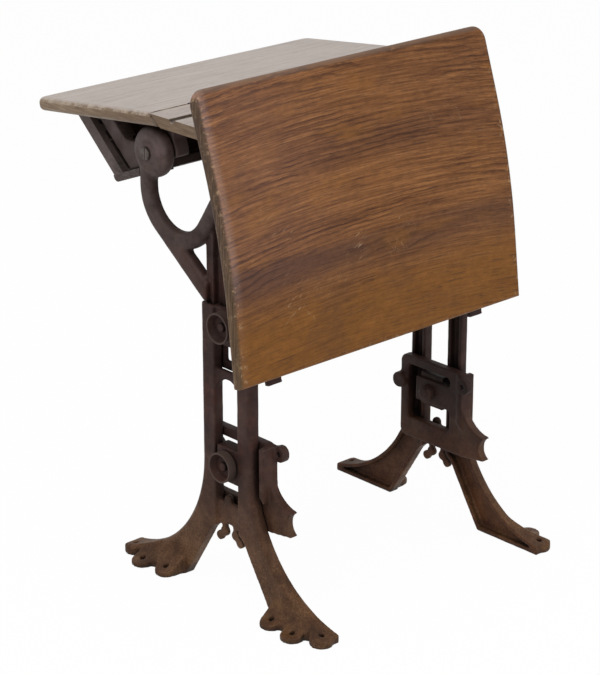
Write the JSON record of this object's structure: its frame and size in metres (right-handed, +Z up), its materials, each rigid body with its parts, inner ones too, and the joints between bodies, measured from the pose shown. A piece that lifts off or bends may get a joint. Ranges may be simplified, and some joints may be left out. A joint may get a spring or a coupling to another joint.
{
  "type": "school desk",
  "caption": "Antique school desk: cast-iron legs and standards, lift lid with pencil rail, slanted book box, bent wooden backrest and seat brackets.",
  "frame": {"origin": "on the floor, midway between the two legs and between the front and rear feet", "axes": "+Z up, +X across the desk, +Y towards the backrest; the pupil sits at -Y"},
  "size_m": [0.5462, 0.5638, 0.7467],
  "materials": {
    "iron": "old dark paint, rubbed",
    "back_wood": "stained, worn varnish",
    "top_wood": "old varnish, glossy",
    "box_wood": "dark stain, dull",
    "hardware": "tarnished"
  },
  "bodies": {
    "legs": {"leg_right": "iron", "leg_left": "iron", "upper_cup_right": "iron", "upper_cup_left": "iron", "upper_bolt_right": "iron", "upper_bolt_left": "iron", "upper_clamp_plate_right": "iron", "upper_clamp_plate_left": "iron"},
    "desk": {"standard_right": "iron", "standard_left": "iron", "box_bracket_right": "iron", "box_bracket_left": "iron", "hinge_rail_leaf_right": "hardware", "hinge_rail_leaf_left": "hardware", "hinge_pin_right": "hardware", "hinge_pin_left": "hardware", "backrest": "back_wood", "backrest_screws": "hardware", "box_front_board": "box_wood", "box_bottom_board": "box_wood", "box_front_screws": "hardware", "box_bottom_screws": "hardware", "rail_screws": "hardware", "boss_screws": "hardware", "pencil_rail": "top_wood", "hinge_rail_screws": "hardware"},
    "lid": {"hinge_lid_leaf_right": "hardware", "hinge_lid_leaf_left": "hardware", "lid": "top_wood", "hinge_lid_screws": "hardware"},
    "seat_slide_right": {"seat_bracket_right": "iron", "seat_cup_right": "iron", "seat_bolt_right": "iron"},
    "seat_nut_right": {"seat_nut_right": "iron"},
    "upper_nut_right": {"upper_nut_right": "iron"},
    "seat_slide_left": {"seat_bracket_left": "iron", "seat_cup_left": "iron", "seat_bolt_left": "iron"},
    "seat_nut_left": {"seat_nut_left": "iron"},
    "upper_nut_left": {"upper_nut_left": "iron"}
  },
  "joints": [
    {"name": "desk_height", "type": "slide", "parent": "legs", "child": "desk", "axis": [0, 0, 1], "range_m": [0, 0.045]},
    {"name": "lid_hinge", "type": "hinge", "parent": "desk", "child": "lid", "pos_m": [0, -0.098, 0.6924], "axis": [-1, 0, 0], "range_deg": [0, 110]},
    {"name": "seat_height_right", "type": "slide", "parent": "legs", "child": "seat_slide_right", "axis": [0, 0, 1], "range_m": [-0.02, 0.08]},
    {"name": "upper_nut_turn_right", "type": "hinge", "parent": "legs", "child": "upper_nut_right", "pos_m": [0.18, 0, 0.406], "axis": [1, 0, 0], "continuous": true},
    {"name": "seat_nut_turn_right", "type": "hinge", "parent": "seat_slide_right", "child": "seat_nut_right", "pos_m": [0.181, 0, 0.2], "axis": [1, 0, 0], "continuous": true},
    {"name": "seat_height_left", "type": "slide", "parent": "legs", "child": "seat_slide_left", "axis": [0, 0, 1], "range_m": [-0.02, 0.08]},
    {"name": "upper_nut_turn_left", "type": "hinge", "parent": "legs", "child": "upper_nut_left", "pos_m": [-0.18, 0, 0.406], "axis": [1, 0, 0], "continuous": true},
    {"name": "seat_nut_turn_left", "type": "hinge", "parent": "seat_slide_left", "child": "seat_nut_left", "pos_m": [-0.181, 0, 0.2], "axis": [1, 0, 0], "continuous": true}
  ]
}
